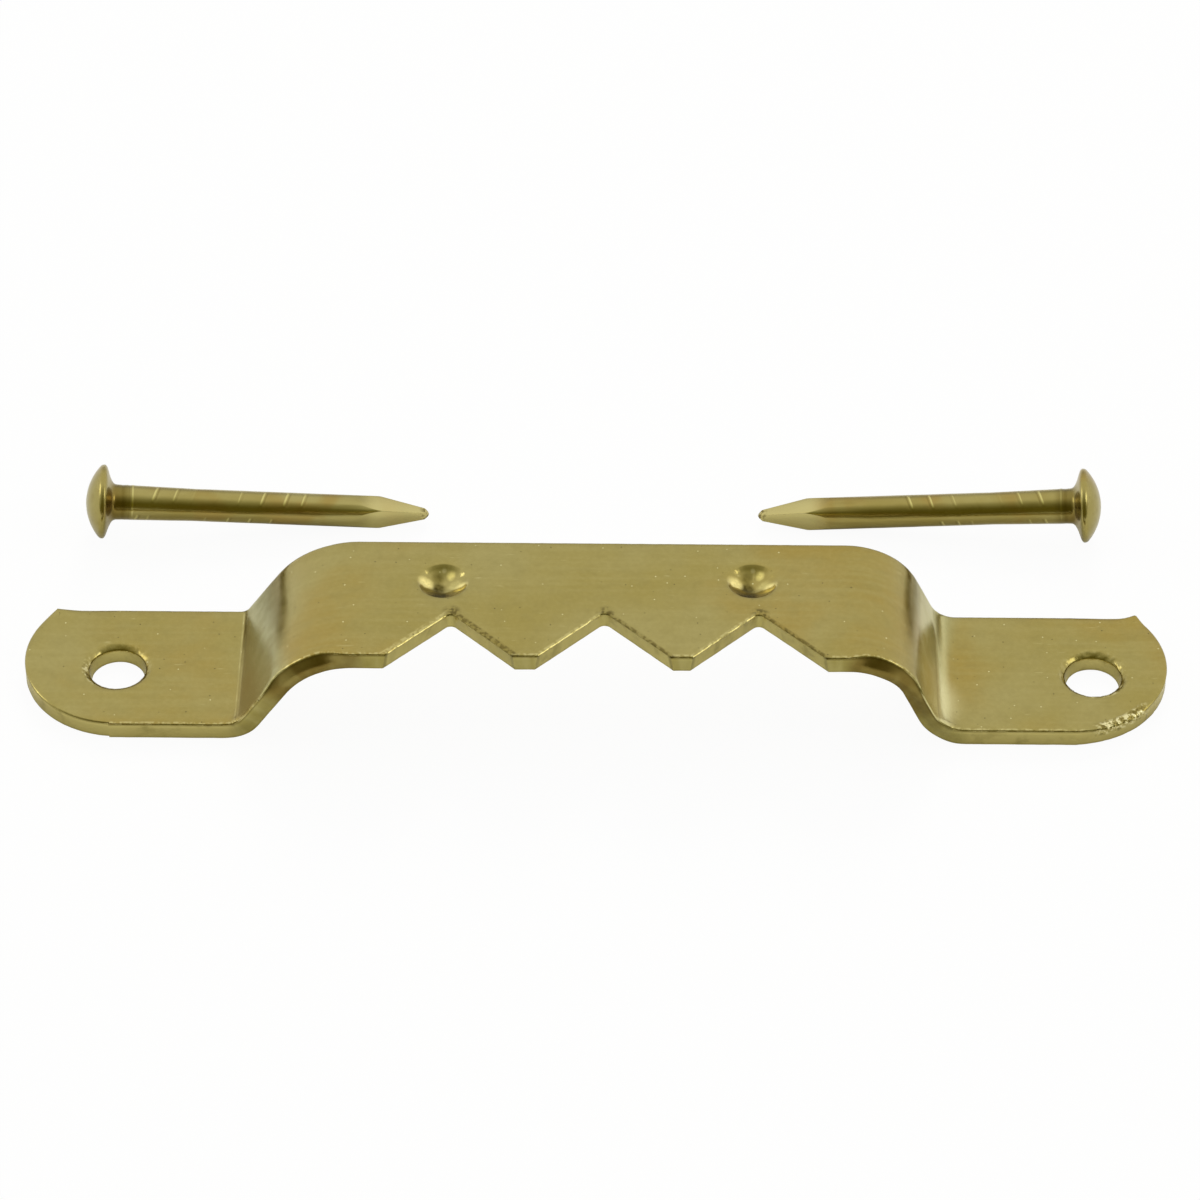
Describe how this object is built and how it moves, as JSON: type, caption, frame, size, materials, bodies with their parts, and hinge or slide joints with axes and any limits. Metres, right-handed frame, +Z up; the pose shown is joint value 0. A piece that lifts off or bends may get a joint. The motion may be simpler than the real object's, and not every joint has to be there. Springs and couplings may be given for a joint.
{
  "type": "sawtooth picture hanger",
  "caption": "Bent strip with a raised toothed middle and a nail hole in each ear, with loose domed nails, for hanging a picture frame on a wall nail.",
  "frame": {"origin": "midway between the two ear holes, on the plane that the ears rest on", "axes": "+X along the strip, +Y away from the toothed edge towards the two loose nails, +Z up, from the resting face towards the raised middle"},
  "size_m": [0.0413, 0.0129, 0.0041],
  "materials": {
    "plated_strip": "brass-plated rolled steel, satin, with fine lines along the strip",
    "plated_nail": "brass-plated drawn wire, smooth satin"
  },
  "bodies": {
    "plate": {"hanger_plate": "plated_strip"},
    "left_nail": {"left_nail": "plated_nail"},
    "right_nail": {"right_nail": "plated_nail"}
  },
  "joints": [
    {"name": "left_nail_lift", "type": "slide", "parent": "plate", "child": "left_nail", "axis": [0, 0, 1], "range_m": [0, 0.015]},
    {"name": "right_nail_lift", "type": "slide", "parent": "plate", "child": "right_nail", "axis": [0, 0, 1], "range_m": [0, 0.015]}
  ]
}
